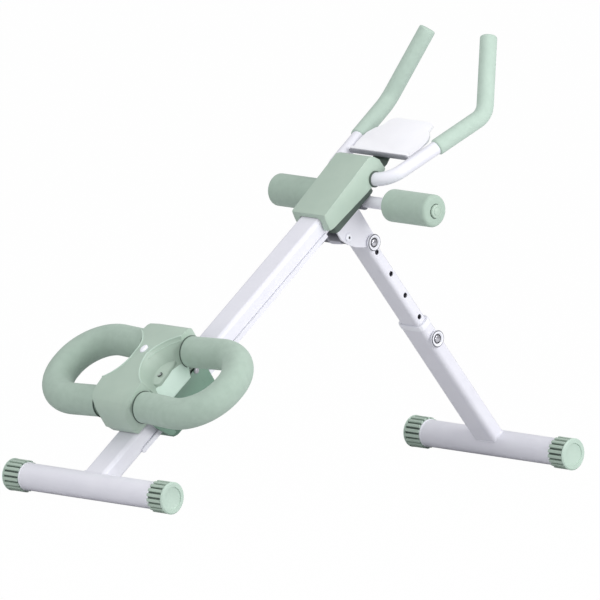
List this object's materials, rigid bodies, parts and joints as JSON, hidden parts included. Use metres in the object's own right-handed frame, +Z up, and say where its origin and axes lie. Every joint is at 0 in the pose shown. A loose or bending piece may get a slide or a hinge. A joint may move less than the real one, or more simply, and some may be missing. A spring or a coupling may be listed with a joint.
{
  "type": "ab crunch machine",
  "caption": "Folding ab crunch machine: slanted rail with a rolling, swivelling knee-loop seat, ribbed feet, telescoping rear leg, foot rollers, padded handlebar and phone tray.",
  "frame": {"origin": "middle of the footprint on the floor, machine set up, seat at its lower stop", "axes": "+Z up, +Y from the low front foot towards the handlebar end, X across the machine"},
  "size_m": [0.4688, 1.0978, 0.8017],
  "materials": {
    "white_steel": "gloss",
    "zinc": "satin",
    "green_plastic": "satin",
    "dark_green_plastic": "satin",
    "white_plastic": "satin",
    "green_foam": "matte",
    "black_rubber": "matte",
    "black_plastic": "satin"
  },
  "bodies": {
    "frame": {"front_foot_tube": "white_steel", "front_foot_cap_right": "green_plastic", "front_foot_cap_left": "green_plastic", "main_rail": "white_steel", "track_strip_right": "white_steel", "track_strip_left": "white_steel", "lower_stop_lug": "white_steel", "lower_buffer": "black_rubber", "upper_stop_lug": "white_steel", "upper_buffer": "black_rubber", "handlebar": "white_steel", "grip_foam_right": "green_foam", "grip_foam_left": "green_foam", "head_cover": "green_plastic", "cover_base": "dark_green_plastic", "foot_bar": "white_steel", "bar_plug_right": "green_plastic", "bar_plug_left": "green_plastic", "bar_saddle": "dark_green_plastic", "phone_tray": "white_plastic", "tray_bracket": "white_steel", "fold_ear_right": "white_steel", "fold_ear_left": "white_steel", "pivot_bolt": "zinc", "pivot_nut": "zinc", "fold_lock_collar": "white_plastic"},
    "roller_right": {"roll_hub_right": "black_plastic", "roll_foam_right": "green_foam"},
    "roller_left": {"roll_hub_left": "black_plastic", "roll_foam_left": "green_foam"},
    "upper_leg": {"pivot_knuckle": "white_steel", "upper_leg_tube": "white_steel"},
    "lower_leg": {"lower_leg_tube": "white_steel", "leg_bush": "white_plastic", "rear_foot_tube": "white_steel", "rear_foot_cap_right": "green_plastic", "rear_foot_cap_left": "green_plastic", "height_lock_collar": "white_plastic"},
    "fold_lock": {"fold_lock_knob": "white_plastic"},
    "height_lock": {"height_lock_knob": "white_plastic"},
    "carriage": {"carriage_chassis": "dark_green_plastic", "axle_under_lower": "zinc", "axle_under_upper": "zinc", "axle_top_lower": "zinc", "axle_top_upper": "zinc", "swivel_stud": "zinc", "swivel_nut": "zinc", "swivel_washer": "black_plastic"},
    "wheel_under_lower": {"rail_roller_under_lower": "black_plastic"},
    "wheel_under_upper": {"rail_roller_under_upper": "black_plastic"},
    "wheel_top_lower": {"rail_roller_top_lower": "black_plastic"},
    "wheel_top_upper": {"rail_roller_top_upper": "black_plastic"},
    "seat": {"seat_bracket": "white_steel", "seat_housing": "green_plastic", "loop_tube_right": "white_steel", "loop_tube_left": "white_steel", "knee_foam_right": "green_foam", "knee_foam_left": "green_foam"},
    "button": {"swivel_button": "white_plastic"}
  },
  "joints": [
    {"name": "right_roller_spin", "type": "hinge", "parent": "frame", "child": "roller_right", "pos_m": [0.14, 0.14524, 0.50377], "axis": [1, 0, 0], "continuous": true},
    {"name": "left_roller_spin", "type": "hinge", "parent": "frame", "child": "roller_left", "pos_m": [-0.14, 0.14524, 0.50377], "axis": [1, 0, 0], "continuous": true},
    {"name": "leg_fold", "type": "hinge", "parent": "frame", "child": "upper_leg", "pos_m": [0, 0.09522, 0.4418], "axis": [-1, 0, 0], "range_deg": [0, 94]},
    {"name": "leg_height", "type": "slide", "parent": "upper_leg", "child": "lower_leg", "axis": [0, -0.6711, 0.7414], "range_m": [0, 0.1713]},
    {"name": "fold_lock_pull", "type": "slide", "parent": "frame", "child": "fold_lock", "axis": [1, 0, 0], "range_m": [0, 0.008], "stiffness_N_per_m": 1200},
    {"name": "height_lock_pull", "type": "slide", "parent": "lower_leg", "child": "height_lock", "axis": [1, 0, 0], "range_m": [0, 0.008], "stiffness_N_per_m": 1200},
    {"name": "carriage_slide", "type": "slide", "parent": "frame", "child": "carriage", "axis": [0, 0.7869, 0.617], "range_m": [0, 0.38]},
    {"name": "under_lower_roll", "type": "hinge", "parent": "carriage", "child": "wheel_under_lower", "pos_m": [0, -0.33735, 0.14036], "axis": [1, 0, 0], "continuous": true},
    {"name": "under_upper_roll", "type": "hinge", "parent": "carriage", "child": "wheel_under_upper", "pos_m": [0, -0.27361, 0.19034], "axis": [1, 0, 0], "continuous": true},
    {"name": "top_lower_roll", "type": "hinge", "parent": "carriage", "child": "wheel_top_lower", "pos_m": [0, -0.36845, 0.18003], "axis": [1, 0, 0], "continuous": true},
    {"name": "top_upper_roll", "type": "hinge", "parent": "carriage", "child": "wheel_top_upper", "pos_m": [0, -0.30471, 0.23001], "axis": [1, 0, 0], "continuous": true},
    {"name": "seat_swivel", "type": "hinge", "parent": "carriage", "child": "seat", "pos_m": [0, -0.36143, 0.19862], "axis": [0, -0.617, 0.7869], "range_deg": [-30, 30]},
    {"name": "button_press", "type": "slide", "parent": "seat", "child": "button", "axis": [0, 0.617, -0.7869], "range_m": [0, 0.004], "stiffness_N_per_m": 600}
  ],
  "couplings": [
    {"joint": "under_lower_roll", "follows": "carriage_slide", "rad_per_m": 166.67},
    {"joint": "under_upper_roll", "follows": "carriage_slide", "rad_per_m": 166.67},
    {"joint": "top_lower_roll", "follows": "carriage_slide", "rad_per_m": -166.67},
    {"joint": "top_upper_roll", "follows": "carriage_slide", "rad_per_m": -166.67}
  ]
}
